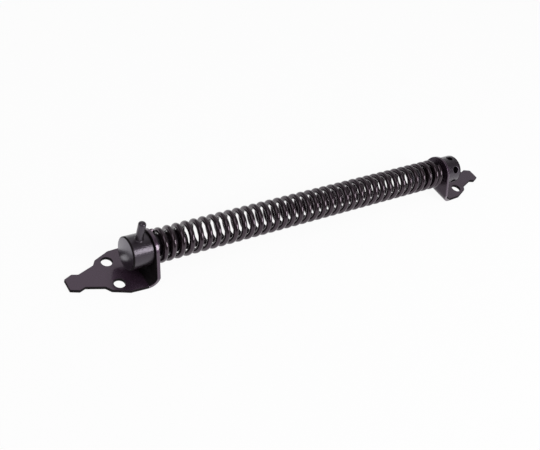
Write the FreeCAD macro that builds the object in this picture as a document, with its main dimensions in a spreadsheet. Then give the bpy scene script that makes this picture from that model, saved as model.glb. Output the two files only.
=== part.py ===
"""Gate spring: a coil spring with a turning fitting and a folded screw-on bracket at each end.

Frame, in millimetres: +X along the spring, from the post bracket to the gate bracket, and +Z up.
The leaves of both brackets lie on z = 0, and the origin is under the middle of the spring.
"""
import FreeCAD, Part
import enum
import math
import os

import Sketcher

SIZES = {
    # the two folded brackets
    "leg_to_leg": 287.0,         # between the outer faces of the two upright legs
    "plate": 2.5,                # thickness of the plate
    "bend_radius": 5.5,          # inside of the fold
    "leg_top_radius": 14.0,      # round top of the leg, about the spring axis
    "foot_width": 40.0,          # plate width at the fold
    "leg_to_hip": 18.6,          # the leaf's outline, in stretches from the leg's outer face
    "hip_width": 38.8,
    "hip_to_shoulder": 11.8,
    "shoulder_width": 28.8,
    "shoulder_to_waist": 3.0,
    "waist_width": 20.8,
    "waist_to_neck": 12.6,
    "neck_width": 12.0,
    "neck_to_head": 4.4,
    "head_width": 15.0,
    "head_to_tip": 6.1,
    "tip_width": 10.0,
    "corner_round": 1.0,         # rounding of the leaf's outline corners
    "screw_hole": 8.0,
    "screw_reach": 23.2,         # screw holes from the leg's outer face
    "screw_spacing": 20.8,
    # the two turned end fittings
    "drum_diameter": 24.0,
    "drum_length": 16.0,
    "drum_chamfer": 0.6,
    "spigot_diameter": 15.6,
    "spigot_reach": 26.0,        # into the spring, past the leg
    "side_clearance": 0.3,       # drum to leg, along the axis
    "fold_clearance": 0.3,       # drum to the inside of the fold, upwards
    "bearing_clearance": 0.08,   # spigot to the leg's hole, on the radius
    "pin_diameter": 5.5,
    "pin_reach": 27.5,           # tip of the pin from the spring axis
    "pin_dome": 1.8,             # rise of the pin's rounded end
    "pin_depth": 8.0,            # seat of the pin in the drum
    "pin_from_end": 8.3,         # pin axis from the drum's end face
    "pin_clearance": 0.02,       # pin to its seat, on the radius
    "bar_hole": 5.8,             # holes for the winding bar
    "bar_hole_depth": 5.5,
    "bar_hole_count": 6,
    "bar_hole_from_end": 6.3,    # hole axes from the drum's end face
    "collar_turn": 48.7,         # degrees: the collar as it stands, turned about the spring axis
    # the coil spring
    "wire": 4.2,
    "coil_clearance": 0.5,       # coils to spigot, on the radius
    "coil_gap": 0.45,            # between the closed coils at each end
    "post_gap": 1.3,             # first coil to the post bracket's leg
    "gate_gap": 3.0,             # last coil to the gate bracket's leg
    "closed_turns": 1.0,
    "open_turns": 34.85,
    "pitch_growth": 0.8,         # pitch of the open turns at the gate end, less that at the post end
    "wire_start": 47.0,          # degrees: angle of the wire's first end, from +Y towards +Z
}
FACETS_PER_TURN = 12             # flat stretches in one turn of the wire
FACETS_ROUND_WIRE = 6            # flat sides of the wire's section
FACETS_UP_DOME = 2               # cone rings in the pin's rounded end
LENGTH_TOLERANCE = 1e-4
NEGLIGIBLE_VOLUME = 1e-3
X_AXIS = FreeCAD.Vector(1, 0, 0)
Z_AXIS = FreeCAD.Vector(0, 0, 1)


class Axis(enum.IntEnum):
    """How a sketch numbers its own axes; its origin is the start of the H axis."""

    H = -1
    V = -2


class Point(enum.IntEnum):
    """How a sketch numbers the points of a line, an arc or a circle."""

    START = 1
    END = 2
    CENTRE = 3


class Size:
    """A length: its value, and the sheet expression that gives it."""

    def __init__(self, value, text):
        self.value = value
        self.text = text

    def __add__(self, other):
        return Size(self.value + other.value, f"({self.text} + {other.text})")

    def __sub__(self, other):
        return Size(self.value - other.value, f"({self.text} - {other.text})")

    def __mul__(self, number):
        return Size(self.value * number, f"({self.text} * {number})")

    def __truediv__(self, number):
        return Size(self.value / number, f"({self.text} / {number})")

    def __neg__(self):
        return Size(-self.value, f"(-{self.text})")


ZERO = Size(0.0, "0")


def size(alias):
    """The size that the sheet keeps under this alias."""
    return Size(SIZES[alias], f"Sizes.{alias}")


def axis_height():
    """Spring axis above the leaves' undersides: the drum just clears the inside of the fold."""
    bend, side = size("bend_radius"), size("side_clearance")
    dip = math.sqrt(side.value * (2 * bend.value - side.value))
    fold_top = Size(bend.value - dip, f"({bend.text} - sqrt({side.text} * (2 * {bend.text} - {side.text})))")
    return size("plate") + fold_top + size("fold_clearance") + size("drum_diameter") / 2


def make_sheet(doc):
    """Puts every size in the sheet: its name in column A, its value in column B under its alias."""
    sheet = doc.addObject("Spreadsheet::Sheet", "Sizes")
    for row, (alias, value) in enumerate(SIZES.items(), start=1):
        sheet.set(f"A{row}", alias)
        sheet.set(f"B{row}", str(value))
        sheet.setAlias(f"B{row}", alias)
    doc.recompute()


def new_body(doc, name):
    body = doc.addObject("PartDesign::Body", name)
    body.Label = name
    return body


def datum(body, role):
    """One of the body's own origin planes or axes."""
    return next(feature for feature in body.Origin.OriginFeatures if feature.Role == role)


def new_sketch(body, name, plane):
    sketch = body.newObject("Sketcher::SketchObject", f"{body.Name}_{name}")
    sketch.AttachmentSupport = [(datum(body, plane), "")]
    sketch.MapMode = "FlatFace"
    return sketch


def vector(point):
    return FreeCAD.Vector(point[0].value, point[1].value, 0)


def tie_length(sketch, kind, geometry, length):
    """Holds a radius of the sketch at a size."""
    index = sketch.addConstraint(Sketcher.Constraint(kind, geometry, length.value))
    sketch.setExpression(f"Constraints[{index}]", length.text)


def tie_point(sketch, geometry, which, point):
    """Holds a sketch point at two sizes from the sketch's origin."""
    for kind, axis, length in (("DistanceX", Axis.V, point[0]), ("DistanceY", Axis.H, point[1])):
        if length is ZERO:
            sketch.addConstraint(Sketcher.Constraint("PointOnObject", geometry, which, axis))
            continue
        ends = (Axis.H, Point.START, geometry, which)
        if length.value < 0:
            ends = (geometry, which, Axis.H, Point.START)
            length = -length
        index = sketch.addConstraint(Sketcher.Constraint(kind, *ends, length.value))
        sketch.setExpression(f"Constraints[{index}]", length.text)


def join(sketch, first, first_end, second, second_end, kind="Coincident"):
    sketch.addConstraint(Sketcher.Constraint(kind, first, first_end, second, second_end))


def draw_line(sketch, start, end):
    return sketch.addGeometry(Part.LineSegment(vector(start), vector(end)), False)


def draw_arc(sketch, centre, radius, start, end):
    """An arc counter-clockwise between two angles in radians."""
    circle = Part.Circle(vector(centre), Z_AXIS, radius)
    return sketch.addGeometry(Part.ArcOfCircle(circle, start, end), False)


def draw_circle(sketch, centre, radius):
    circle = sketch.addGeometry(Part.Circle(vector(centre), Z_AXIS, radius.value), False)
    tie_point(sketch, circle, Point.CENTRE, centre)
    tie_length(sketch, "Radius", circle, radius)


def draw_outline(sketch, points):
    """A closed outline of straight lines through points that are tied to the sheet."""
    lines = [draw_line(sketch, start, end) for start, end in zip(points, points[1:] + points[:1])]
    for line, following, start in zip(lines, lines[1:] + lines[:1], points):
        join(sketch, line, Point.END, following, Point.START)
        tie_point(sketch, line, Point.START, start)


def add_pad(body, sketch, length, midplane=False, reverse=False):
    pad = body.newObject("PartDesign::Pad", f"{sketch.Name}_pad")
    pad.Profile = sketch
    pad.setExpression("Length", length.text)
    pad.Midplane = midplane
    pad.Reversed = reverse
    return pad


def add_cut(body, sketch, midplane=False, reverse=False):
    """Cuts a sketch through everything, and makes sure that the cut took something away."""
    body.Document.recompute()
    before = body.Shape.Volume
    cut = body.newObject("PartDesign::Pocket", f"{sketch.Name}_cut")
    cut.Profile = sketch
    cut.Type = "ThroughAll"
    cut.Midplane = midplane
    cut.Reversed = reverse
    body.Document.recompute()
    if before - body.Shape.Volume < NEGLIGIBLE_VOLUME:
        raise RuntimeError(f"{cut.Name} cuts nothing")
    return cut


def add_revolution(body, sketch, axis):
    turned = body.newObject("PartDesign::Revolution", f"{sketch.Name}_turned")
    turned.Profile = sketch
    turned.ReferenceAxis = (sketch, [axis])
    return turned


def place(body, along, up, turn_axis, turn):
    """Stands a body on the spring's centre plane, turned by a size in degrees about one axis."""
    body.Placement.Rotation = FreeCAD.Rotation(turn_axis, turn.value)
    body.setExpression("Placement.Base.x", along.text)
    body.setExpression("Placement.Base.z", up.text)
    body.setExpression("Placement.Rotation.Angle", turn.text)


def leaf_outline():
    """Corner points of the leaf from the fold to the tip, on both sides."""
    corners = ("leg", "hip", "shoulder", "waist", "neck", "head", "tip")
    side = [(size("bend_radius"), size("foot_width") / 2)]
    reach = ZERO
    for before, corner in zip(corners, corners[1:]):
        reach = reach + size(f"{before}_to_{corner}")
        side.append((reach, size(f"{corner}_width") / 2))
    return side + [(along, -across) for along, across in reversed(side)]


def draw_fold(sketch):
    """Section of the fold: a quarter ring from the leaf up to the leg."""
    bend, plate = size("bend_radius"), size("plate")
    centre = (bend, plate + bend)
    leaf_end = draw_line(sketch, (bend, plate), (bend, ZERO))
    leg_end = draw_line(sketch, (-plate, plate + bend), (ZERO, plate + bend))
    outside = draw_arc(sketch, centre, (plate + bend).value, math.pi, 1.5 * math.pi)
    inside = draw_arc(sketch, centre, bend.value, math.pi, 1.5 * math.pi)
    tie_point(sketch, leaf_end, Point.START, (bend, plate))
    tie_point(sketch, leaf_end, Point.END, (bend, ZERO))
    tie_point(sketch, leg_end, Point.START, (-plate, plate + bend))
    tie_point(sketch, leg_end, Point.END, (ZERO, plate + bend))
    for arc, leg_point, leaf_point, radius in (
        (outside, Point.START, Point.END, plate + bend),
        (inside, Point.END, Point.START, bend),
    ):
        join(sketch, arc, Point.START, leg_end, leg_point)
        join(sketch, arc, Point.END, leaf_end, leaf_point)
        tie_length(sketch, "Radius", arc, radius)


def draw_leg(sketch):
    """Outline of the leg: tapered sides that run into a round top about the spring axis."""
    half_foot, top = size("foot_width") / 2, size("leg_top_radius")
    base, axis = size("plate") + size("bend_radius"), axis_height()
    rise = (axis - base).value
    to_foot = math.hypot(half_foot.value, rise)
    touch = math.acos(top.value / to_foot) - math.atan2(rise, half_foot.value)
    shoulder_across = Size(top.value * math.cos(touch), "")
    shoulder_up = Size(axis.value + top.value * math.sin(touch), "")
    foot = draw_line(sketch, (-half_foot, base), (half_foot, base))
    near = draw_line(sketch, (half_foot, base), (shoulder_across, shoulder_up))
    far = draw_line(sketch, (-shoulder_across, shoulder_up), (-half_foot, base))
    round_top = draw_arc(sketch, (ZERO, axis), top.value, touch, math.pi - touch)
    tie_point(sketch, foot, Point.START, (-half_foot, base))
    tie_point(sketch, foot, Point.END, (half_foot, base))
    tie_point(sketch, round_top, Point.CENTRE, (ZERO, axis))
    tie_length(sketch, "Radius", round_top, top)
    join(sketch, foot, Point.END, near, Point.START)
    join(sketch, far, Point.END, foot, Point.START)
    join(sketch, near, Point.END, round_top, Point.START, kind="Tangent")
    join(sketch, round_top, Point.END, far, Point.START, kind="Tangent")


def outline_corner_edges(shape):
    """Names of the leaf's upright corner edges, apart from those at the fold."""
    corners = [vector(point) for point in leaf_outline()[1:-1]]
    names = []
    for number, edge in enumerate(shape.Edges, start=1):
        low, high = edge.BoundBox.ZMin, edge.BoundBox.ZMax
        upright = abs(edge.Length - (high - low)) < LENGTH_TOLERANCE
        foot = FreeCAD.Vector(edge.CenterOfMass.x, edge.CenterOfMass.y, 0)
        if upright and any(foot.distanceToPoint(corner) < LENGTH_TOLERANCE for corner in corners):
            names.append(f"Edge{number}")
    return names


def make_bracket(doc, name, along, turn):
    """A folded plate: arrow-headed leaf, fold, and upright leg with the bearing hole."""
    body = new_body(doc, name)
    leaf = new_sketch(body, "leaf", "XY_Plane")
    draw_outline(leaf, leaf_outline())
    add_pad(body, leaf, size("plate"))
    fold = new_sketch(body, "fold", "XZ_Plane")
    draw_fold(fold)
    add_pad(body, fold, size("foot_width"), midplane=True)
    leg = new_sketch(body, "leg", "YZ_Plane")
    draw_leg(leg)
    add_pad(body, leg, size("plate"), reverse=True)
    bearing = new_sketch(body, "bearing", "YZ_Plane")
    draw_circle(bearing, (ZERO, axis_height()), size("spigot_diameter") / 2 + size("bearing_clearance"))
    add_cut(body, bearing, midplane=True)
    screws = new_sketch(body, "screws", "XY_Plane")
    half_spacing = size("screw_spacing") / 2
    for across in (half_spacing, -half_spacing):
        draw_circle(screws, (size("screw_reach"), across), size("screw_hole") / 2)
    cut = add_cut(body, screws, midplane=True)
    corners = body.newObject("PartDesign::Fillet", f"{name}_corners")
    corners.Base = (cut, outline_corner_edges(cut.Shape))
    corners.setExpression("Radius", "Sizes.corner_round")
    place(body, along, ZERO, Z_AXIS, turn)
    return body


def drum_end():
    """The drum's end face from the leg's outer face."""
    return size("side_clearance") + size("drum_length")


def fitting_profile():
    """Half section of an end fitting: spigot, step against the leg, and drum."""
    inner_end = -(size("plate") + size("spigot_reach"))
    step = size("side_clearance")
    spigot, drum = size("spigot_diameter") / 2, size("drum_diameter") / 2
    chamfer = size("drum_chamfer")
    return [
        (inner_end, ZERO),
        (drum_end(), ZERO),
        (drum_end(), drum - chamfer),
        (drum_end() - chamfer, drum),
        (step, drum),
        (step, spigot),
        (inner_end, spigot),
    ]


def make_fitting(doc, name, along, turn_axis, turn):
    """The turned body of an end fitting, with its axis on the spring axis."""
    body = new_body(doc, name)
    section = new_sketch(body, "section", "XZ_Plane")
    draw_outline(section, fitting_profile())
    add_revolution(body, section, "H_Axis")
    place(body, along, axis_height(), turn_axis, turn)
    return body


def drill_radial_hole(body, from_end, radius, depth):
    """A blind hole from the drum's surface towards the axis, upwards in the fitting's own frame."""
    sketch = new_sketch(body, "radial_hole", "XY_Plane")
    floor = size("drum_diameter") / 2 - depth
    sketch.setExpression("AttachmentOffset.Base.z", floor.text)
    draw_circle(sketch, (drum_end() - from_end, ZERO), radius)
    return add_cut(body, sketch, reverse=True)


def make_fixed_hub(doc, along, turn):
    body = make_fitting(doc, "fixed_hub", along, Z_AXIS, turn)
    seat = size("pin_diameter") / 2 + size("pin_clearance")
    drill_radial_hole(body, size("pin_from_end"), seat, size("pin_depth"))
    return body


def make_adjusting_collar(doc, along, turn):
    body = make_fitting(doc, "adjusting_collar", along, X_AXIS, turn)
    hole = drill_radial_hole(body, size("bar_hole_from_end"), size("bar_hole") / 2, size("bar_hole_depth"))
    ring = body.newObject("PartDesign::PolarPattern", "adjusting_collar_holes")
    ring.Originals = [hole]
    ring.Axis = (datum(body, "X_Axis"), [""])
    ring.setExpression("Occurrences", "Sizes.bar_hole_count")
    body.Tip = ring
    return body


def make_stop_pin(doc, along):
    """A round pin with a domed end, upright in the fixed hub."""
    body = new_body(doc, "hub_stop_pin")
    section = new_sketch(body, "section", "XZ_Plane")
    radius, rise = size("pin_diameter") / 2, size("pin_dome")
    low, tip = size("drum_diameter") / 2 - size("pin_depth"), size("pin_reach")
    outline = [(ZERO, tip), (ZERO, low), (radius, low)]
    for ring in range(FACETS_UP_DOME):
        angle = math.pi / 2 * ring / FACETS_UP_DOME
        outline.append((radius * math.cos(angle), tip - rise + rise * math.sin(angle)))
    draw_outline(section, outline)
    add_revolution(body, section, "V_Axis")
    place(body, along, axis_height(), Z_AXIS, ZERO)
    return body


def even_radius(radius, sides):
    """Corner radius of a regular polygon that lies as far outside a circle as inside it."""
    return 2 * radius / (1 + math.cos(math.pi / sides))


def coil_path():
    """Corner points along the middle of the wire: closed turns, open turns, closed turns, left-handed."""
    wire = SIZES["wire"]
    leg_face = SIZES["leg_to_leg"] / 2 - SIZES["plate"]
    first = SIZES["post_gap"] + wire / 2 - leg_face
    last = leg_face - SIZES["gate_gap"] - wire / 2
    closed, opened = SIZES["closed_turns"], SIZES["open_turns"]
    closed_pitch = wire + SIZES["coil_gap"]
    closed_span = closed * closed_pitch
    growth = SIZES["pitch_growth"]
    first_open_pitch = (last - first - 2 * closed_span) / opened - growth / 2
    turns = 2 * closed + opened
    steps = round(turns * FACETS_PER_TURN)
    middle_radius = SIZES["spigot_diameter"] / 2 + SIZES["coil_clearance"] + wire / 2
    corner_radius = even_radius(middle_radius, steps / turns)
    points = []
    for step in range(steps + 1):
        turn = turns * step / steps
        if turn < closed:
            along = first + closed_pitch * turn
        elif turn < closed + opened:
            open_turn = turn - closed
            mean_pitch = first_open_pitch + growth / 2 * open_turn / opened
            along = first + closed_span + mean_pitch * open_turn
        else:
            along = last - closed_pitch * (turns - turn)
        angle = math.radians(SIZES["wire_start"]) - 2 * math.pi * turn
        across = corner_radius * math.cos(angle)
        up = axis_height().value + corner_radius * math.sin(angle)
        points.append(FreeCAD.Vector(along, across, up))
    return points


def wire_rings(path, radius):
    """Corner rings of a faceted wire: square to the path at its ends, mitred at its corners."""
    runs = [(end - start).normalize() for start, end in zip(path, path[1:])]
    across = runs[0].cross(X_AXIS).normalize()
    upright = runs[0].cross(across)
    ring = []
    for side in range(FACETS_ROUND_WIRE):
        angle = 2 * math.pi * side / FACETS_ROUND_WIRE
        ring.append(path[0] + (across * math.cos(angle) + upright * math.sin(angle)) * radius)
    rings = [ring]
    for corner, run, following in zip(path[1:], runs, runs[1:] + runs[-1:]):
        mitre = run + following
        ring = [point + run * ((corner - point).dot(mitre) / run.dot(mitre)) for point in ring]
        rings.append(ring)
    return rings


def flat_face(corners):
    return Part.Face(Part.makePolygon(list(corners) + [corners[0]]))


def make_spring(doc):
    """The coil spring: round wire drawn with flat facets, evenly inside and outside its true surface."""
    sides = FACETS_ROUND_WIRE
    rings = wire_rings(coil_path(), even_radius(SIZES["wire"] / 2, sides))
    faces = [flat_face(rings[0]), flat_face(rings[-1])]
    for ring, following in zip(rings, rings[1:]):
        for side in range(sides):
            beside = (side + 1) % sides
            faces.append(flat_face((ring[side], ring[beside], following[beside], following[side])))
    shell = Part.makeShell(faces)
    shell.sewShape()
    spring = doc.addObject("Part::Feature", "coil_spring")
    spring.Label = "coil_spring"
    spring.Shape = Part.makeSolid(shell)
    spring.Placement = FreeCAD.Placement()
    return spring


def build(doc):
    """Makes the sheet and every piece, and returns the pieces."""
    make_sheet(doc)
    leg = size("leg_to_leg") / 2
    half_turn = Size(180.0, "180")
    return [
        make_bracket(doc, "post_bracket", -leg, half_turn),
        make_fixed_hub(doc, -leg, half_turn),
        make_stop_pin(doc, -(leg + drum_end() - size("pin_from_end"))),
        make_spring(doc),
        make_adjusting_collar(doc, leg, size("collar_turn")),
        make_bracket(doc, "gate_bracket", leg, ZERO),
    ]


def check(doc, pieces):
    """Stops on any object that failed, and on any piece that isn't one valid solid."""
    failed = [item.Name for item in doc.Objects if {"Invalid", "Error"} & set(item.State)]
    bad = [piece.Label for piece in pieces if piece.Shape.isNull() or not piece.Shape.isValid()]
    split = [piece.Label for piece in pieces if len(piece.Shape.Solids) != 1]
    if failed or bad or split:
        raise RuntimeError(f"failed: {failed}, not valid: {bad}, not one solid: {split}")


document = FreeCAD.newDocument("gate_spring")
all_pieces = build(document)
document.recompute()
check(document, all_pieces)
os.makedirs("parts", exist_ok=True)
for item in all_pieces:
    item.Shape.exportStep(f"parts/{item.Label}.step")
    print(item.Label, round(item.Shape.Volume, 1), "mm3")
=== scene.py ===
"""Looks of a gate spring: a black coil between two folded brackets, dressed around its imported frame.

Lengths in the classes are millimetres, as on a drawing, and MM turns them to metres when a mesh is written.
The frame: +X runs along the spring from the post bracket to the gate bracket, +Z is up, and the brackets'
leaves lie on z = 0.
"""
import logging
import math
from dataclasses import dataclass
from enum import Enum, IntEnum
from functools import cached_property

import bmesh
import bpy
from mathutils import Matrix, Vector


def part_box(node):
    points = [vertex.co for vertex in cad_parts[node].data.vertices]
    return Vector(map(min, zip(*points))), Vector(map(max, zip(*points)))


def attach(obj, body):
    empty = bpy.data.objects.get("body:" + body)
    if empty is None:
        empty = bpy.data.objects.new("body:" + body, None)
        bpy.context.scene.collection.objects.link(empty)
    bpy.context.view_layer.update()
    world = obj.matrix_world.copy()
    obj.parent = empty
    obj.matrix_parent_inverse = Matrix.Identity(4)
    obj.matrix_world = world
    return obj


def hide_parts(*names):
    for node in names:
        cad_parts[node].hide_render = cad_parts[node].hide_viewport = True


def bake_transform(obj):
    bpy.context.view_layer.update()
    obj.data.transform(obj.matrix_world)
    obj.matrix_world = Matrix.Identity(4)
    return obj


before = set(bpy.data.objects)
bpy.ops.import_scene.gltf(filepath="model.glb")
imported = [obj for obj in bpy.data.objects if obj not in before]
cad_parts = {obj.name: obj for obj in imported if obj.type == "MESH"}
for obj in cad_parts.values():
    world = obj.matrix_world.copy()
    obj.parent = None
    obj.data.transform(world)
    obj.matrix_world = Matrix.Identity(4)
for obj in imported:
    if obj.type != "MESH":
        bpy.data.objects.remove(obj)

LOG = logging.getLogger("gate_spring")
MM = 0.001
WELD = 1e-7                      # metres: corners closer than this are one
QUARTER = math.pi / 2            # of a turn, in radians
TURN = 2 * math.pi
AXIS_HEIGHT = 18.508             # the spring's axis above the leaves' undersides
MIX_COLOUR_A = 6                 # a Mix node's colour sockets by number, because others share their names
MIX_COLOUR_B = 7
MIX_COLOUR_RESULT = 2
WAVE_SPACING = TURN / 20         # from band to band of a Wave texture whose scale is 1

Point = tuple[float, float]
Span = tuple[float, float]
Coordinates = tuple[float, float, float]
Ring = list[bmesh.types.BMVert]


class End(Enum):
    """The two ends of the spring, with the way that each one points along X."""

    POST = -1
    GATE = 1


class Body(Enum):
    """The rigid bodies of the frame."""

    POST = "post_side"
    HUB = "hub_and_spring"
    COLLAR = "winding_collar"
    GATE = "gate_side"


class PlateZone(IntEnum):
    """The finishes of a folded plate, two of them painted shade, numbered in the order of the plate's
    finishes.
    """

    BROAD = 0                    # the leaf's broad sides and the leg's edges
    SHADE_PAINTED = 1                     # the leaf's edges, the inside of the fold and the leg beside the drum, painted dark as shade
    THIN = 2                     # the outside of the fold and the leg's side that faces the coil, painted darker as the coil's shade


class BarZone(IntEnum):
    """Finishes of a turned fitting, with painted shade on the rim, numbered in the order of the fitting's
    finishes.
    """

    SIDE = 0
    FACE = 1
    SHADE_PAINTED_RIM = 2


def linear(hex_colour: str) -> tuple[float, float, float, float]:
    """Turns an sRGB hex colour to linear light.

    Args:
        hex_colour: the colour as six hex digits after a hash.

    Returns:
        Linear red, green, blue and an alpha of one.
    """
    channels = [int(hex_colour[i : i + 2], 16) / 255 for i in (1, 3, 5)]
    # The two stretches of the sRGB curve: straight near black, and a power above that.
    bright = [c / 12.92 if c <= 0.04045 else ((c + 0.055) / 1.055) ** 2.4 for c in channels]
    return (*bright, 1.0)


def add_node(
    tree: bpy.types.NodeTree,
    kind: str,
    settings: dict[str, str] | None = None,
    inputs: dict[str | int, object] | None = None,
) -> bpy.types.Node:
    """Adds one node with its settings and links.

    Args:
        tree: the node tree that takes the node.
        kind: the node's type name.
        settings: properties of the node, by name.
        inputs: for each input socket, by name or number, a value or the output socket that feeds it.

    Returns:
        The new node.
    """
    node = tree.nodes.new(kind)
    for name, value in (settings or {}).items():
        setattr(node, name, value)
    for socket, value in (inputs or {}).items():
        if isinstance(value, bpy.types.NodeSocket):
            tree.links.new(value, node.inputs[socket])
        else:
            node.inputs[socket].default_value = value
    return node


@dataclass(frozen=True)
class CoatFinish:
    """A baked black coat on steel, with the orange peel that such a coat dries to.

    The eye gets a near-black skin that mirrors pale surroundings softly at a slant, broken up by the peel.
    """

    name: str
    tone: str                    # the coat where it lies thick
    thin_tone: str               # the coat where it lies thin
    roughness: Span              # from the smoothest patches to the dullest
    peel_mm: float               # from crest to crest of the orange peel
    peel_depth_mm: float
    skin: float = 0.0            # weight of the clear skin that the resin dries to
    skin_roughness: float = 0.0
    sheen: str = "#fff4ff"       # tint of what the coat mirrors under its skin
    shine: float = 0.5           # strength of that mirror, a half for plain resin
    ior: float = 1.6             # baked resin
    patch_mm: float = 9.0        # size of the patches of thick and thin coat
    patch_detail: float = 3.0    # octaves of finer patches within them
    patch_levels: Span = (0.3, 0.7)    # levels of the patches between which the roughness changes
    peel_detail: float = 2.0     # octaves of finer peel
    peel_grit: float = 0.55      # strength of each finer octave
    groove_mm: float = 0.0       # spacing of the turning marks under the coat, none if 0
    groove_depth_mm: float = 0.0
    groove_waver: float = 1.5    # how far the turning marks stray from true rings
    groove_detail: float = 1.0

    def relief(self, tree: bpy.types.NodeTree, place: bpy.types.NodeSocket) -> bpy.types.NodeSocket:
        """Builds the relief of the coat: its orange peel, over turning marks if it has them.

        Args:
            tree: the material's node tree.
            place: the output socket that gives the place on the object.

        Returns:
            The output socket that gives the normal.
        """
        peel = add_node(
            tree,
            "ShaderNodeTexNoise",
            inputs={
                "Vector": place,
                "Scale": 1 / (self.peel_mm * MM),
                "Detail": self.peel_detail,
                "Roughness": self.peel_grit,
            },
        ).outputs["Fac"]
        normal = add_node(
            tree, "ShaderNodeBump", inputs={"Distance": self.peel_depth_mm * MM, "Height": peel}
        ).outputs["Normal"]
        if self.groove_mm == 0:
            return normal
        grooves = add_node(
            tree,
            "ShaderNodeTexWave",
            {"wave_type": "BANDS", "bands_direction": "X"},
            {
                "Vector": place,
                "Scale": WAVE_SPACING / (self.groove_mm * MM),
                "Distortion": self.groove_waver,
                "Detail": self.groove_detail,
            },
        ).outputs["Fac"]
        return add_node(
            tree,
            "ShaderNodeBump",
            inputs={"Distance": self.groove_depth_mm * MM, "Height": grooves, "Normal": normal},
        ).outputs["Normal"]

    def material(self) -> bpy.types.Material:
        """Builds the coat as a material.

        Returns:
            The material, with its colour, gloss and relief worked out from the object's own coordinates.
        """
        made = bpy.data.materials.new(self.name)
        made.use_nodes = True
        tree = made.node_tree
        tree.nodes.clear()
        place = add_node(tree, "ShaderNodeTexCoord").outputs["Object"]
        patches = add_node(
            tree,
            "ShaderNodeTexNoise",
            inputs={"Vector": place, "Scale": 1 / (self.patch_mm * MM), "Detail": self.patch_detail},
        ).outputs["Fac"]
        tone = add_node(
            tree,
            "ShaderNodeMix",
            {"data_type": "RGBA"},
            {"Factor": patches, MIX_COLOUR_A: linear(self.tone), MIX_COLOUR_B: linear(self.thin_tone)},
        ).outputs[MIX_COLOUR_RESULT]
        gloss = add_node(
            tree,
            "ShaderNodeMapRange",
            inputs={
                "Value": patches,
                "From Min": self.patch_levels[0],
                "From Max": self.patch_levels[1],
                "To Min": self.roughness[0],
                "To Max": self.roughness[1],
            },
        ).outputs["Result"]
        relief = self.relief(tree, place)
        coat = add_node(
            tree,
            "ShaderNodeBsdfPrincipled",
            inputs={
                "Base Color": tone,
                "Roughness": gloss,
                "Normal": relief,
                "IOR": self.ior,
                "Specular IOR Level": self.shine,
                "Specular Tint": linear(self.sheen),
                "Coat Weight": self.skin,
                "Coat Roughness": self.skin_roughness,
                "Coat IOR": self.ior,
                "Coat Normal": relief,
            },
        )
        add_node(tree, "ShaderNodeOutputMaterial", inputs={"Surface": coat.outputs["BSDF"]})
        return made


# Epoxy powder baked on pressed plate: a smooth satin black that picks up a violet-grey sheen.
PLATE_COAT = CoatFinish(
    "black_epoxy_powder_on_plate",
    "#281c27",
    "#2f222e",
    (0.22, 0.32),
    peel_mm=1.3,
    peel_depth_mm=0.02,
    skin=0.85,
    skin_roughness=0.13,
    sheen="#ffccff",
)
# Painted shade: a matt near-black coat on the leaves' edges, the drums' rims, the inside of each fold and
# the leg beside each drum, which gives matt black lines round leaves and drums where shade and dark
# reflections fall.
SHADE_PAINTED_COAT = CoatFinish(
    "black_powder_painted_shade",
    "#0f0c0e",
    "#161214",
    (0.6, 0.75),
    peel_mm=0.8,
    peel_depth_mm=0.03,
    shine=0.1,
)
# Painted shade on the leg's side that faces the coil and on the outside of the fold: a darker coat that
# mirrors less.
COIL_SHADE_PAINTED_COAT = CoatFinish(
    "black_powder_painted_coil_shade",
    "#1c131b",
    "#221820",
    (0.3, 0.4),
    peel_mm=1.3,
    peel_depth_mm=0.02,
    skin=0.15,
    skin_roughness=0.2,
    sheen="#ffdcff",
    shine=0.3,
)
# The same powder on turned bar: a soft highlight that breaks up into small grains. The real peel is
# shallower and the real turning marks lie about 0.1 mm apart, so both are drawn coarser, to show.
BAR_COAT = CoatFinish(
    "black_epoxy_powder_on_turned_bar",
    "#100b0e",
    "#161013",
    (0.27, 0.36),
    peel_mm=0.8,
    peel_depth_mm=0.12,
    skin=0.35,
    skin_roughness=0.16,
    sheen="#f6e2ff",
    groove_mm=1.78,
    groove_depth_mm=0.008,
)
# On the faced ends of the bar the powder flows out smooth, and mirrors softly what lies beside it.
FACE_COAT = CoatFinish(
    "black_epoxy_powder_on_faced_end",
    "#151113",
    "#1c1719",
    (0.26, 0.33),
    peel_mm=1.6,
    peel_depth_mm=0.03,
    skin=0.85,
    skin_roughness=0.26,
    sheen="#dcb8ff",
)
# Black enamel that wire is dipped in: glossier, with narrow bright lines along the coils.
WIRE_COAT = CoatFinish(
    "black_enamel_on_spring_wire",
    "#120c0e",
    "#191214",
    (0.12, 0.2),
    peel_mm=2.2,
    peel_depth_mm=0.02,
    skin=0.3,
    skin_roughness=0.05,
    sheen="#ffdcf8",
    shine=0.42,
)


def round_corners(points: list[Point], radii: list[float], steps: int, closed: bool) -> list[Point]:
    """Replaces the corners of a line by arcs.

    Args:
        points: corner points of the line.
        radii: rounding radius at each corner, 0 for a sharp one.
        steps: straight steps in each arc.
        closed: whether the last point joins the first.

    Returns:
        The points of the rounded line.
    """
    count = len(points)
    rounded: list[Point] = []
    for i, (point, radius) in enumerate(zip(points, radii)):
        if radius == 0 or (not closed and i in (0, count - 1)):
            rounded.append(point)
            continue
        corner = Vector(point)
        back = (Vector(points[i - 1]) - corner).normalized()
        ahead = (Vector(points[(i + 1) % count]) - corner).normalized()
        half = back.angle(ahead) / 2
        middle = (back + ahead).normalized()
        centre = corner + middle * (radius / math.sin(half))
        start = corner + back * (radius / math.tan(half)) - centre
        sweep = (math.pi - 2 * half) * (-1 if back.cross(ahead) > 0 else 1)
        for step in range(steps + 1):
            spoke = Matrix.Rotation(sweep * step / steps, 2) @ start
            rounded.append((centre.x + spoke.x, centre.y + spoke.y))
    return rounded


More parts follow.
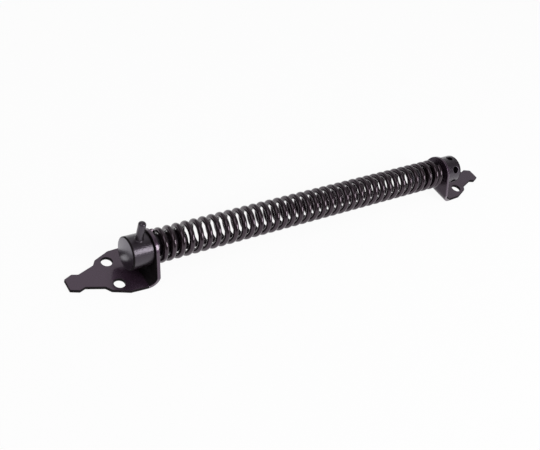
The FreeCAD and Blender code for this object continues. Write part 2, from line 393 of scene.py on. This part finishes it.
class MeshDraft:
    """Corners and faces that are gathered first, and turned into one welded mesh at the end."""

    def __init__(self, mesh: bmesh.types.BMesh | None = None) -> None:
        """Starts from a mesh in metres, or empty."""
        self.mesh = bmesh.new() if mesh is None else mesh

    def ring(self, points: list[Vector]) -> Ring:
        """Adds a row of corners, given in millimetres, and returns them."""
        return [self.mesh.verts.new(point * MM) for point in points]

    def skin(self, rings: list[Ring]) -> None:
        """Lays four-sided faces between rows of corners that close on themselves.

        Args:
            rings: rows of equal length, in order.
        """
        for low, high in zip(rings, rings[1:]):
            count = len(low)
            for i in range(count):
                j = (i + 1) % count
                self.mesh.faces.new((low[i], low[j], high[j], high[i]))

    def fan(self, ring: Ring, centre: Vector) -> None:
        """Closes a ring with triangles.

        Args:
            ring: the row of corners.
            centre: the point that the triangles meet in, in millimetres.
        """
        hub = self.mesh.verts.new(centre * MM)
        for i, corner in enumerate(ring):
            self.mesh.faces.new((corner, ring[(i + 1) % len(ring)], hub))

    def finish(self, name: str, sharp_degrees: float) -> bpy.types.Mesh:
        """Welds the draft and turns it into a mesh.

        Args:
            name: the mesh's name.
            sharp_degrees: edges that turn by more than this stay crisp.

        Returns:
            The mesh, shaded smooth, with its faces turned outwards.
        """
        bmesh.ops.remove_doubles(self.mesh, verts=self.mesh.verts[:], dist=WELD)
        bmesh.ops.recalc_face_normals(self.mesh, faces=self.mesh.faces[:])
        mesh = bpy.data.meshes.new(name)
        self.mesh.to_mesh(mesh)
        self.mesh.free()
        mesh.shade_smooth()
        mesh.set_sharp_from_angle(angle=math.radians(sharp_degrees))
        return mesh


def add_piece(
    name: str, mesh: bpy.types.Mesh, finishes: list[bpy.types.Material], node: str
) -> bpy.types.Object:
    """Puts a mesh in the scene in place of a node of the frame.

    Args:
        name: the piece's name.
        mesh: its mesh, in the frame's own coordinates.
        finishes: its materials, in the order that the mesh numbers them.
        node: the node that it stands for, which it hides.

    Returns:
        The piece, which doesn't ride on a body yet.
    """
    piece = bpy.data.objects.new(name, mesh)
    bpy.context.scene.collection.objects.link(piece)
    for finish in finishes:
        mesh.materials.append(finish)
    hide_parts(node)
    LOG.info("%s: %d faces, in place of %s", name, len(mesh.polygons), node)
    return piece


@dataclass
class FoldedBracket:
    """A bracket as it is made: a blank cut from plate, holed, its edges softened, then folded."""

    end: End
    body: Body
    node: str
    plate: float = 2.5
    bend_radius: float = 5.5     # inside of the fold
    foot_width: float = 40.0
    leg_top_radius: float = 14.0
    bearing_radius: float = 7.88
    screw_reach: float = 23.2    # from the leg's outer face
    screw_spacing: float = 20.8
    screw_radius: float = 4.0
    corner_round: float = 1.0
    edge_round: float = 0.4      # the coat rounds the plate's edges
    edge_slope: float = 0.85     # a blank's faces whose normals stand less upright than this are its edges
    # Reach from the leg's outer face and half width, at the hip, shoulder, waist, neck, head and tip.
    leaf_corners: tuple[Point, ...] = (
        (18.6, 19.4),
        (30.4, 14.4),
        (33.4, 10.4),
        (46.0, 6.0),
        (50.4, 7.5),
        (56.5, 5.0),
    )
    arc_steps: int = 6
    edge_steps: int = 3
    fold_steps: int = 16
    top_steps: int = 36          # round the top of the leg
    hole_steps: int = 72
    sharp_degrees: float = 40.0
    broad_weight: int = 100      # lets the broad sides alone set the shading up to their edges

    @cached_property
    def leg_x(self) -> float:
        """Distance along X from the frame's middle to the leg's outer face, read from the node's box.

        Returns:
            The distance, the same at both ends.
        """
        low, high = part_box(self.node)
        tip = (low if self.end is End.POST else high).x / MM
        return abs(tip) - self.leaf_corners[-1][0]

    @property
    def middle_radius(self) -> float:
        """Radius of the fold at half the plate's thickness."""
        return self.bend_radius + self.plate / 2

    @property
    def fold_length(self) -> float:
        """Length of the blank that goes into the fold."""
        return self.middle_radius * QUARTER

    @property
    def rise(self) -> float:
        """Height of the spring's axis above the top of the fold."""
        return AXIS_HEIGHT - self.plate - self.bend_radius

    def blank_outline(self) -> list[Point]:
        """Draws the edge of the flat blank, with the start of the fold on the leaf's side at 0.

        Returns:
            The blank's outline, leaf towards +x and leg towards -x.
        """
        leaf = [(reach - self.bend_radius, half) for reach, half in self.leaf_corners]
        half_foot = self.foot_width / 2
        foot = [(0.0, half_foot), (-self.fold_length, half_foot)]
        side = [*reversed(leaf), *foot]
        side_radii = [self.corner_round] * len(leaf) + [0.0] * len(foot)
        far = math.hypot(half_foot, self.rise)
        touch = math.acos(self.leg_top_radius / far) - math.atan2(self.rise, half_foot)
        top: list[Point] = []
        for step in range(self.top_steps + 1):
            angle = touch + (math.pi - 2 * touch) * step / self.top_steps
            along = -self.fold_length - self.rise - self.leg_top_radius * math.sin(angle)
            top.append((along, self.leg_top_radius * math.cos(angle)))
        outline = side + top + [(x, -y) for x, y in reversed(side)]
        radii = side_radii + [0.0] * len(top) + side_radii[::-1]
        return round_corners(outline, radii, self.arc_steps, closed=True)

    def holes(self) -> list[tuple[Point, float]]:
        """Lists the holes of the blank: the bearing hole of the leg and the screw holes of the leaf.

        Returns:
            Each hole's centre and radius.
        """
        bearing_x = -self.fold_length - self.rise
        screw_x = self.screw_reach - self.bend_radius
        screws = [((screw_x, across * self.screw_spacing / 2), self.screw_radius) for across in (-1, 1)]
        return [((bearing_x, 0.0), self.bearing_radius), *screws]

    def blank(self) -> bmesh.types.BMesh:
        """Cuts the flat blank from plate.

        Returns:
            The blank in millimetres, lying about z = 0, with rounded edges.
        """
        curve = bpy.data.curves.new(f"{self.node}_blank", "CURVE")
        curve.dimensions = "2D"
        curve.fill_mode = "BOTH"
        curve.extrude = self.plate / 2 - self.edge_round
        curve.bevel_depth = self.edge_round
        curve.bevel_resolution = self.edge_steps
        curve.offset = -self.edge_round
        loops = [self.blank_outline()]
        spokes = [TURN * step / self.hole_steps for step in range(self.hole_steps)]
        for (x, y), radius in self.holes():
            loops.append([(x + radius * math.cos(a), y - radius * math.sin(a)) for a in spokes])
        for loop in loops:
            spline = curve.splines.new("POLY")
            spline.points.add(len(loop) - 1)
            for corner, (x, y) in zip(spline.points, loop):
                corner.co = (x, y, 0, 1)
            spline.use_cyclic_u = True
        former = bpy.data.objects.new(curve.name, curve)
        flat = bmesh.new()
        flat.from_mesh(bpy.data.meshes.new_from_object(former))
        bpy.data.objects.remove(former)
        return flat

    def zone(self, face: bmesh.types.BMFace) -> PlateZone:
        """Tells which finish a face takes: the coat itself, or painted shade.

        Args:
            face: a face of the flat blank.

        Returns:
            The zone that the face belongs to.
        """
        on_leaf = face.calc_center_median().x > 0
        upright = face.normal.z
        on_edge = abs(upright) < self.edge_slope
        # On the leaf the edges are painted dark as shade. On the fold and leg, the side towards the drum is
        # painted shade, and the side towards the coil a less dark painted shade.
        if on_leaf:
            return PlateZone.SHADE_PAINTED if on_edge else PlateZone.BROAD
        if on_edge:
            return PlateZone.BROAD
        return PlateZone.SHADE_PAINTED if upright > 0 else PlateZone.THIN

    def fold(self, point: Vector) -> Vector:
        """Moves a point of the blank to its place on the folded bracket.

        Args:
            point: a point of the flat blank.

        Returns:
            The point in the frame, in millimetres.
        """
        out = point.x + self.bend_radius
        up = point.z + self.plate / 2
        if point.x < 0:
            angle = min(-point.x / self.middle_radius, QUARTER)
            radius = self.middle_radius - point.z
            out = self.bend_radius - radius * math.sin(angle)
            up_leg = max(-point.x - self.fold_length, 0.0)
            up = self.plate + self.bend_radius - radius * math.cos(angle) + up_leg
        away = self.end.value
        return Vector((away * (self.leg_x + out), away * point.y, up))

    def mesh(self) -> bpy.types.Mesh:
        """Folds the blank along the leg.

        Returns:
            The bracket's mesh, with its faces numbered by zone.
        """
        flat = self.blank()
        for step in range(self.fold_steps + 1):
            cut = Vector((-self.fold_length * step / self.fold_steps, 0, 0))
            geometry = flat.verts[:] + flat.edges[:] + flat.faces[:]
            bmesh.ops.bisect_plane(flat, geom=geometry, plane_co=cut, plane_no=Vector((1, 0, 0)))
        flat.normal_update()
        for face in flat.faces:
            face.material_index = self.zone(face)
        for corner in flat.verts:
            corner.co = self.fold(corner.co) * MM
        return MeshDraft(flat).finish(self.node, self.sharp_degrees)

    def dress(self, finishes: list[bpy.types.Material]) -> bpy.types.Object:
        """Adds the coated bracket to the scene and lets it ride on its body.

        Args:
            finishes: the materials of the zones, in order.

        Returns:
            The bracket.
        """
        piece = add_piece(f"{self.node}_coated", self.mesh(), finishes, self.node)
        flat_shading = piece.modifiers.new("even_plate_faces", "WEIGHTED_NORMAL")
        flat_shading.weight = self.broad_weight
        flat_shading.keep_sharp = True
        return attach(piece, self.body.value)


@dataclass
class EndFitting:
    """A turned fitting: a drum outside the leg, and a spigot through the leg into the coil."""

    end: End
    body: Body
    node: str
    drum_radius: float = 12.0
    drum_length: float = 16.0
    spigot_radius: float = 7.8
    end_round: float = 0.7       # rounding of the drum's outer edge
    rim_width: float = 1.3       # strip along that edge painted matt dark as shade
    step_round: float = 0.5      # rounding of the spigot's end, and of the drum's edge beside the leg
    face_slope: float = 0.95     # faces that look along the axis more than this are faced ends
    arc_steps: int = 5
    sides: int = 144
    sharp_degrees: float = 50.0

    @cached_property
    def span(self) -> Span:
        """Where the fitting starts and ends along X, counted outwards, read from the node's box."""
        inner, outer = sorted(abs(corner.x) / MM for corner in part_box(self.node))
        return inner, outer

    def at(self, out: float, radius: float, angle: float) -> Vector:
        """Places a point by its distance out along X, its radius and its angle from +Y towards +Z."""
        across, up = radius * math.cos(angle), radius * math.sin(angle)
        return Vector((self.end.value * out, across, AXIS_HEIGHT + up))

    def spigot_side(self) -> list[Point]:
        """Draws the half section from the spigot's end to the drum's side.

        Returns:
            Its points, as distance out and radius.
        """
        inner, outer = self.span
        step = outer - self.drum_length
        corners = [
            (inner, 0.0),
            (inner, self.spigot_radius),
            (step, self.spigot_radius),
            (step, self.drum_radius),
            (outer, self.drum_radius),
        ]
        radii = [0.0, self.step_round, 0.0, self.step_round, 0.0]
        return round_corners(corners, radii, self.arc_steps, closed=False)[:-1]

    def end_side(self) -> list[Point]:
        """Draws the half section from the start of the drum's rim to the middle of its end face.

        Returns:
            Its points, as distance out and radius.
        """
        outer = self.span[1]
        corners = [(outer - self.rim_width, self.drum_radius), (outer, self.drum_radius), (outer, 0.0)]
        return round_corners(corners, [0.0, self.end_round, 0.0], self.arc_steps, closed=False)

    def lathe(self, draft: MeshDraft, section: list[Point], angles: list[float]) -> None:
        """Turns a half section about the spring's axis, and closes it where it reaches the axis.

        Args:
            draft: takes the faces.
            section: points as distance out and radius.
            angles: where the turned rings have their corners.
        """
        rings = [draft.ring([self.at(x, r, a) for a in angles]) for x, r in section if r > 0]
        draft.skin(rings)
        for (x, r), ring in ((section[0], rings[0]), (section[-1], rings[-1])):
            if r == 0:
                draft.fan(ring, self.at(x, 0.0, 0.0))

    def mesh(self) -> bpy.types.Mesh:
        """Turns the whole fitting.

        Returns:
            The fitting's mesh.
        """
        draft = MeshDraft()
        angles = [TURN * i / self.sides for i in range(self.sides)]
        self.lathe(draft, self.spigot_side() + self.end_side(), angles)
        return draft.finish(self.node, self.sharp_degrees)

    def zone(self, face: bpy.types.MeshPolygon) -> BarZone:
        """Tells which finish a face takes: the coat, the faced end's coat, or painted shade on the rim.

        Args:
            face: a face of the finished mesh.

        Returns:
            The zone that the face belongs to.
        """
        if abs(face.normal.x) > self.face_slope:
            return BarZone.FACE
        # the strip along the outer edge takes the painted shade
        on_rim = abs(face.center.x) / MM > self.span[1] - self.rim_width
        return BarZone.SHADE_PAINTED_RIM if on_rim else BarZone.SIDE

    def dress(self, finishes: list[bpy.types.Material]) -> bpy.types.Object:
        """Adds the coated fitting to the scene and lets it ride on its body.

        Args:
            finishes: the materials of the zones, in order.

        Returns:
            The fitting.
        """
        piece = add_piece(f"{self.node}_coated", self.mesh(), finishes, self.node)
        for face in piece.data.polygons:
            face.material_index = self.zone(face)
        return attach(piece, self.body.value)


@dataclass
class WindingCollar(EndFitting):
    """The fitting that the spring is wound by: like the hub, with a ring of radial holes to turn it by."""

    hole_count: int = 6
    hole_radius: float = 2.9
    hole_depth: float = 5.5
    hole_from_end: float = 6.3
    hole_turn_degrees: float = 138.7   # first hole, from +Y towards +Z
    rim_round: float = 0.45            # the coat rounds the holes' rims
    side_steps: int = 12               # steps along each side of the panel round a hole
    panel_steps: int = 6               # rings of faces from a rim to its panel's edge
    panel_crowding: float = 1.4        # draws those rings towards the hole, evenly spaced at 1

    @property
    def panel_half_width(self) -> float:
        """Half the chord of the drum's side that belongs to one hole."""
        return self.drum_radius * math.sin(math.pi / self.hole_count)

    @property
    def hole_x(self) -> float:
        """The holes' axes along X, counted outwards."""
        return self.span[1] - self.hole_from_end

    def panel_edge(self) -> list[Point]:
        """Walks round the edge of one panel, which is the part of the drum's side round a hole.

        Returns:
            Points as chord across and distance out, both from the hole's axis.
        """
        half = self.panel_half_width
        low = self.spigot_side()[-1][0] - self.hole_x
        high = self.end_side()[0][0] - self.hole_x
        corners = [(half, low), (half, high), (-half, high), (-half, low)]
        edge: list[Point] = []
        for start, stop in zip(corners, corners[1:] + corners[:1]):
            for step in range(self.side_steps):
                share = step / self.side_steps
                edge.append(tuple(a + (b - a) * share for a, b in zip(start, stop)))
        return edge

    def beside_hole(self, turn: float, across: float, along: float, sunk: float) -> Vector:
        """Finds a point on the drum's side, or sunk below it along a hole's axis.

        Args:
            turn: the hole's angle from +Y towards +Z.
            across: chord from the hole's axis, round the drum.
            along: distance out from the hole's axis.
            sunk: depth below the drum's side.

        Returns:
            The point in the frame, in millimetres.
        """
        height = math.sqrt(self.drum_radius**2 - across**2) - sunk
        angle = turn + math.atan2(-across, height)
        return self.at(self.hole_x + along, math.hypot(across, height), angle)

    def panel(self, draft: MeshDraft, turn: float) -> None:
        """Builds one hole with the panel around it, from the hole's floor outwards.

        Args:
            draft: takes the faces.
            turn: the hole's angle from +Y towards +Z.
        """
        edge = self.panel_edge()
        spokes = [math.atan2(y, x) for x, y in edge]
        floor = self.drum_radius - self.hole_depth
        wall = [(self.hole_radius * math.cos(a), self.hole_radius * math.sin(a)) for a in spokes]
        depths = [math.sqrt(self.drum_radius**2 - x**2) - floor for x, _ in wall]
        foot = [self.beside_hole(turn, x, y, depth) for (x, y), depth in zip(wall, depths)]
        rings = [draft.ring(foot)]
        for step in range(self.arc_steps + 1):
            angle = QUARTER * step / self.arc_steps
            reach = self.hole_radius + self.rim_round * (1 - math.cos(angle))
            sunk = self.rim_round * (1 - math.sin(angle))
            rim = [(reach * math.cos(a), reach * math.sin(a)) for a in spokes]
            rings.append(draft.ring([self.beside_hole(turn, x, y, sunk) for x, y in rim]))
        for step in range(1, self.panel_steps + 1):
            share = (step / self.panel_steps) ** self.panel_crowding
            mixed = [(x + (u - x) * share, y + (v - y) * share) for (x, y), (u, v) in zip(rim, edge)]
            rings.append(draft.ring([self.beside_hole(turn, x, y, 0.0) for x, y in mixed]))
        draft.skin(rings)
        draft.fan(rings[0], self.at(self.hole_x, floor, turn))

    def mesh(self) -> bpy.types.Mesh:
        """Turns the fitting and drills its ring of holes.

        Returns:
            The collar's mesh.
        """
        draft = MeshDraft()
        half = self.panel_half_width
        first = math.radians(self.hole_turn_degrees)
        turns = [first + TURN * i / self.hole_count for i in range(self.hole_count)]
        chords = [half - 2 * half * step / self.side_steps for step in range(self.side_steps)]
        leans = [math.atan2(-x, math.sqrt(self.drum_radius**2 - x**2)) for x in chords]
        angles = [turn + lean for turn in turns for lean in leans]
        self.lathe(draft, self.spigot_side(), angles)
        self.lathe(draft, self.end_side(), angles)
        for turn in turns:
            self.panel(draft, turn)
        return draft.finish(self.node, self.sharp_degrees)


@dataclass
class StopPin:
    """The domed pin that stands in the hub's drum, with the coat gathered round its foot."""

    hub: EndFitting
    node: str = "hub_stop_pin"
    dome: float = 1.8            # rise of the rounded end
    foot_round: float = 0.6      # the coat's hollow at the pin's foot
    foot_tuck: float = 0.3       # how far the hollow's edge is sunk in the drum
    sides: int = 56
    arc_steps: int = 8
    sharp_degrees: float = 60.0

    def level(self, middle_x: float, reach: float, height: float) -> list[Vector]:
        """Draws a level ring about the pin.

        Args:
            middle_x: the pin's axis along X.
            reach: the ring's radius.
            height: the ring's height.

        Returns:
            The ring's corner points.
        """
        spokes = [TURN * i / self.sides for i in range(self.sides)]
        return [Vector((middle_x + reach * math.cos(a), reach * math.sin(a), height)) for a in spokes]

    def on_drum(self, middle_x: float, reach: float, lift: float) -> list[Vector]:
        """Draws a ring about the pin that follows the drum's side.

        Args:
            middle_x: the pin's axis along X.
            reach: the ring's radius, seen from above.
            lift: the ring's height above the drum's side.

        Returns:
            The ring's corner points.
        """
        ring = self.level(middle_x, reach, AXIS_HEIGHT + lift)
        for point in ring:
            point.z += math.sqrt(self.hub.drum_radius**2 - point.y**2)
        return ring

    def mesh(self) -> bpy.types.Mesh:
        """Turns the pin about its own upright axis.

        Returns:
            The pin's mesh, from inside the drum to its domed end.
        """
        low, high = (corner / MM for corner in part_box(self.node))
        middle_x = (low.x + high.x) / 2
        radius = (high.x - low.x) / 2
        rings = [self.on_drum(middle_x, radius + self.foot_round, -self.foot_tuck)]
        for step in range(1, self.arc_steps + 1):
            angle = QUARTER * step / self.arc_steps
            reach = radius + self.foot_round * (1 - math.sin(angle))
            rings.append(self.on_drum(middle_x, reach, self.foot_round * (1 - math.cos(angle))))
        for step in range(self.arc_steps):
            angle = QUARTER * step / self.arc_steps
            height = high.z - self.dome * (1 - math.sin(angle))
            rings.append(self.level(middle_x, radius * math.cos(angle), height))
        draft = MeshDraft()
        rows = [draft.ring(points) for points in rings]
        draft.skin(rows)
        draft.fan(rows[-1], Vector((middle_x, 0, high.z)))
        draft.fan(rows[0], Vector((middle_x, 0, AXIS_HEIGHT + self.hub.drum_radius - self.foot_round)))
        return draft.finish(self.node, self.sharp_degrees)

    def dress(self, finish: bpy.types.Material) -> bpy.types.Object:
        """Adds the coated pin to the scene and lets it ride with the hub."""
        piece = add_piece(f"{self.node}_coated", self.mesh(), [finish], self.node)
        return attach(piece, self.hub.body.value)


@dataclass
class CoilSpring:
    """The coil: round wire wound left-handed, with a closed turn at each end."""

    node: str = "coil_spring"
    wire: float = 4.2
    middle_radius: float = 10.4
    post_end_x: float = -137.6   # middle of the wire at its two ends
    gate_end_x: float = 135.9
    closed_turns: float = 1.0
    open_turns: float = 34.85
    closed_pitch: float = 4.65
    pitch_growth: float = 0.8    # pitch of the open turns at the gate end, less that at the post end
    start_degrees: float = 47.0  # the wire's first end, from +Y towards +Z
    cut_round: float = 0.4       # rounding of the wire's cut ends
    steps_per_turn: int = 72
    sides: int = 18
    arc_steps: int = 3
    sharp_degrees: float = 60.0

    @property
    def turns(self) -> float:
        """Turns of the wire in all."""
        return 2 * self.closed_turns + self.open_turns

    def along(self, turn: float) -> float:
        """Works out how far along X the wire has come.

        Args:
            turn: turns from the wire's first end.

        Returns:
            The middle of the wire along X.
        """
        if turn < self.closed_turns:
            return self.post_end_x + turn * self.closed_pitch
        if turn > self.turns - self.closed_turns:
            return self.gate_end_x - (self.turns - turn) * self.closed_pitch
        closed_span = self.closed_turns * self.closed_pitch
        open_span = self.gate_end_x - self.post_end_x - 2 * closed_span
        open_turn = turn - self.closed_turns
        growth_to_come = self.pitch_growth * (1 - open_turn / self.open_turns)
        mean_pitch = open_span / self.open_turns - growth_to_come / 2
        return self.post_end_x + closed_span + mean_pitch * open_turn

    def section(self, turn: float, radius: float, shift: float) -> list[Vector]:
        """Draws the wire's section.

        Args:
            turn: turns from the wire's first end.
            radius: the section's radius.
            shift: how far the section is moved along the wire.

        Returns:
            The section's corner points.
        """
        angle = math.radians(self.start_degrees) - TURN * turn
        outward = Vector((0, math.cos(angle), math.sin(angle)))
        onward = Vector((0, math.sin(angle), -math.cos(angle))) * (TURN * self.middle_radius)
        nudge = 1 / self.steps_per_turn
        near, far = max(turn - nudge, 0), min(turn + nudge, self.turns)
        onward.x = (self.along(far) - self.along(near)) / (far - near)
        onward.normalize()
        beside = onward.cross(outward)
        on_axis = Vector((self.along(turn), 0, AXIS_HEIGHT))
        centre = on_axis + outward * self.middle_radius + onward * shift
        spokes = [TURN * i / self.sides for i in range(self.sides)]
        return [centre + (outward * math.cos(a) + beside * math.sin(a)) * radius for a in spokes]

    def cut_end(self, turn: float, way: int) -> list[list[Vector]]:
        """Draws the rounding of one of the wire's cut ends.

        Args:
            turn: turns from the wire's first end.
            way: 1 where the wire ends forwards, -1 where it ends backwards.

        Returns:
            Sections from the cut face to the full wire.
        """
        sections: list[list[Vector]] = []
        for step in range(self.arc_steps):
            angle = QUARTER * step / self.arc_steps
            radius = self.wire / 2 - self.cut_round * (1 - math.sin(angle))
            sections.append(self.section(turn, radius, way * self.cut_round * math.cos(angle)))
        return sections

    def mesh(self) -> bpy.types.Mesh:
        """Winds the wire.

        Returns:
            The coil's mesh, with its cut ends slightly rounded.
        """
        steps = round(self.turns * self.steps_per_turn)
        wound = [self.section(self.turns * i / steps, self.wire / 2, 0.0) for i in range(steps + 1)]
        sections = self.cut_end(0.0, -1) + wound + self.cut_end(self.turns, 1)[::-1]
        draft = MeshDraft()
        rings = [draft.ring(points) for points in sections]
        draft.skin(rings)
        for points, ring in ((sections[0], rings[0]), (sections[-1], rings[-1])):
            draft.fan(ring, sum(points, Vector()) / len(points))
        return draft.finish(self.node, self.sharp_degrees)

    def dress(self, finish: bpy.types.Material) -> bpy.types.Object:
        """Adds the coil to the scene, with its place baked into its mesh.

        Args:
            finish: the wire's material.

        Returns:
            The coil.
        """
        piece = add_piece(f"{self.node}_enamelled", self.mesh(), [finish], self.node)
        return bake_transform(piece)


@dataclass(frozen=True)
class SoftBox:
    """A lamp with a wide soft front, in metres and watts."""

    name: str
    place: Coordinates
    width: float
    height: float
    watts: float

    def hang(self, aim: Coordinates) -> None:
        """Hangs the lamp, turned towards the object.

        Args:
            aim: the point that it is turned to.
        """
        light = bpy.data.lights.new(self.name, "AREA")
        light.shape = "RECTANGLE"
        light.size = self.width
        light.size_y = self.height
        light.energy = self.watts
        lamp = bpy.data.objects.new(self.name, light)
        way = Vector(aim) - Vector(self.place)
        turned = way.to_track_quat("-Z", "Y").to_matrix().to_4x4()
        lamp.matrix_world = Matrix.Translation(self.place) @ turned
        bpy.context.scene.collection.objects.link(lamp)


@dataclass
class Studio:
    """A pale floor, soft light and the camera, in metres."""

    camera_place: Coordinates = (-0.37268, -0.31844, 0.41705)
    camera_yaw_degrees: float = 46.609     # from +Y towards +X
    camera_pitch_degrees: float = 41.437   # downwards
    camera_roll_degrees: float = 19.924
    camera_nearest: float = 0.01           # nothing closer than this is drawn
    picture_width_px: float = 540.0
    focal_px: float = 804.71
    sensor_mm: float = 36.0
    floor_size: float = 12.0
    floor_drop: float = 0.0001             # keeps the leaves' undersides off the floor's own plane
    floor_tone: str = "#f8f8f8"
    floor_glow: float = 0.94               # share of the floor's picture that is plain white
    white: str = "#ffffff"
    lamp_aim: Coordinates = (0.0, 0.0, 0.02)
    lamps: tuple[SoftBox, ...] = (
        SoftBox("soft_box_front", (0.448, -0.809, 0.723), width=0.53, height=0.5, watts=7.4),
        SoftBox("soft_box_overhead", (-0.6, -0.106, 1.1), width=0.8, height=0.8, watts=2.8),
    )
    bright_way: Coordinates = (0.272, 0.583, 0.766)   # towards the brightest part of the room
    bright_cosines: Span = (0.75, 1.0)     # of the angles from there between which the room's light grows
    room_light: Span = (0.18, 0.64)        # away from the brightest part and in it
    horizon_sines: Span = (0.12, 0.3)      # of the heights between which the white horizon fades out

    def camera(self) -> None:
        """Sets the camera where the photograph was taken from."""
        yaw = math.radians(self.camera_yaw_degrees)
        pitch = math.radians(self.camera_pitch_degrees)
        look = Vector((math.sin(yaw) * math.cos(pitch), math.cos(yaw) * math.cos(pitch), -math.sin(pitch)))
        right = Vector((math.cos(yaw), -math.sin(yaw), 0))
        up = right.cross(look)
        upright = Matrix((right, up, -look)).transposed()
        tilted = upright @ Matrix.Rotation(math.radians(self.camera_roll_degrees), 3, "Z")
        lens = bpy.data.cameras.new("camera")
        lens.sensor_width = self.sensor_mm
        lens.lens = self.sensor_mm * self.focal_px / self.picture_width_px
        lens.clip_start = self.camera_nearest
        camera = bpy.data.objects.new("camera", lens)
        camera.matrix_world = Matrix.Translation(self.camera_place) @ tilted.to_4x4()
        bpy.context.scene.collection.objects.link(camera)
        bpy.context.scene.camera = camera

    def paper(self) -> bpy.types.Material:
        """Builds the floor's white paper, which keeps a soft shadow of the object.

        Returns:
            The material, plain white for the most part where it is seen, mirrored or looked through to.
        """
        made = bpy.data.materials.new("white_matt_paper")
        made.use_nodes = True
        tree = made.node_tree
        tree.nodes.clear()
        path = add_node(tree, "ShaderNodeLightPath").outputs
        seen = path["Is Camera Ray"]
        for ray in ("Is Glossy Ray", "Is Transmission Ray"):
            either = add_node(tree, "ShaderNodeMath", {"operation": "MAXIMUM"}, {0: seen, 1: path[ray]})
            seen = either.outputs["Value"]
        share = add_node(tree, "ShaderNodeMath", {"operation": "MULTIPLY"}, {0: seen, 1: self.floor_glow})
        sheet = add_node(tree, "ShaderNodeBsdfDiffuse", inputs={"Color": linear(self.floor_tone)})
        glow = add_node(tree, "ShaderNodeEmission", inputs={"Color": linear(self.white), "Strength": 1.0})
        mixed = add_node(
            tree,
            "ShaderNodeMixShader",
            inputs={0: share.outputs["Value"], 1: sheet.outputs["BSDF"], 2: glow.outputs["Emission"]},
        )
        add_node(tree, "ShaderNodeOutputMaterial", inputs={"Surface": mixed.outputs["Shader"]})
        return made

    def floor(self) -> None:
        """Lays the floor."""
        half = self.floor_size / 2
        corners = [(x * half, y * half, -self.floor_drop) for x, y in ((-1, -1), (1, -1), (1, 1), (-1, 1))]
        sheet = bpy.data.meshes.new("floor")
        sheet.from_pydata(corners, [], [(0, 1, 2, 3)])
        sheet.materials.append(self.paper())
        floor = bpy.data.objects.new("floor", sheet)
        bpy.context.scene.collection.objects.link(floor)

    def room(self) -> None:
        """Lights the room: brightest behind the object and above, dimmer elsewhere, white at the horizon."""
        world = bpy.data.worlds.new("room")
        world.use_nodes = True
        tree = world.node_tree
        tree.nodes.clear()
        way = add_node(tree, "ShaderNodeTexCoord").outputs["Generated"]
        towards_bright = add_node(
            tree, "ShaderNodeVectorMath", {"operation": "DOT_PRODUCT"}, {0: way, 1: self.bright_way}
        ).outputs["Value"]
        above = add_node(
            tree,
            "ShaderNodeMapRange",
            inputs={
                "Value": towards_bright,
                "From Min": self.bright_cosines[0],
                "From Max": self.bright_cosines[1],
                "To Min": self.room_light[0],
                "To Max": self.room_light[1],
            },
        ).outputs["Result"]
        height = add_node(tree, "ShaderNodeSeparateXYZ", inputs={"Vector": way}).outputs["Z"]
        horizon = add_node(
            tree,
            "ShaderNodeMapRange",
            inputs={
                "Value": height,
                "From Min": self.horizon_sines[0],
                "From Max": self.horizon_sines[1],
                "To Min": 1.0,
                "To Max": 0.0,
            },
        ).outputs["Result"]
        strength = add_node(tree, "ShaderNodeMath", {"operation": "MAXIMUM"}, {0: above, 1: horizon})
        lit = add_node(
            tree,
            "ShaderNodeBackground",
            inputs={"Color": linear(self.white), "Strength": strength.outputs["Value"]},
        )
        add_node(tree, "ShaderNodeOutputWorld", inputs={"Surface": lit.outputs["Background"]})
        bpy.context.scene.world = world

    def build(self) -> None:
        """Sets the whole studio up."""
        self.camera()
        self.floor()
        self.room()
        for lamp in self.lamps:
            lamp.hang(self.lamp_aim)
        bpy.context.scene.view_settings.view_transform = "Standard"


def main() -> None:
    """Builds every piece of the gate spring and the studio around it."""
    logging.basicConfig(level=logging.INFO, format="%(name)s: %(message)s")
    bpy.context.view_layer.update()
    # painted shade: the matt near-black coat for the shaded edges, rims, fold insides and legs beside the
    # drums
    painted_shade = SHADE_PAINTED_COAT.material()
    bar = BAR_COAT.material()
    # the plate's finishes: its coat, painted shade, and the less dark painted shade behind the coil
    on_plate = [PLATE_COAT.material(), painted_shade, COIL_SHADE_PAINTED_COAT.material()]
    on_bar = [bar, FACE_COAT.material(), painted_shade]
    FoldedBracket(End.POST, Body.POST, "post_bracket").dress(on_plate)
    FoldedBracket(End.GATE, Body.GATE, "gate_bracket").dress(on_plate)
    hub = EndFitting(End.POST, Body.HUB, "fixed_hub")
    hub.dress(on_bar)
    WindingCollar(End.GATE, Body.COLLAR, "adjusting_collar").dress(on_bar)
    StopPin(hub).dress(bar)
    CoilSpring().dress(WIRE_COAT.material())
    Studio().build()


if __name__ == "__main__":
    main()
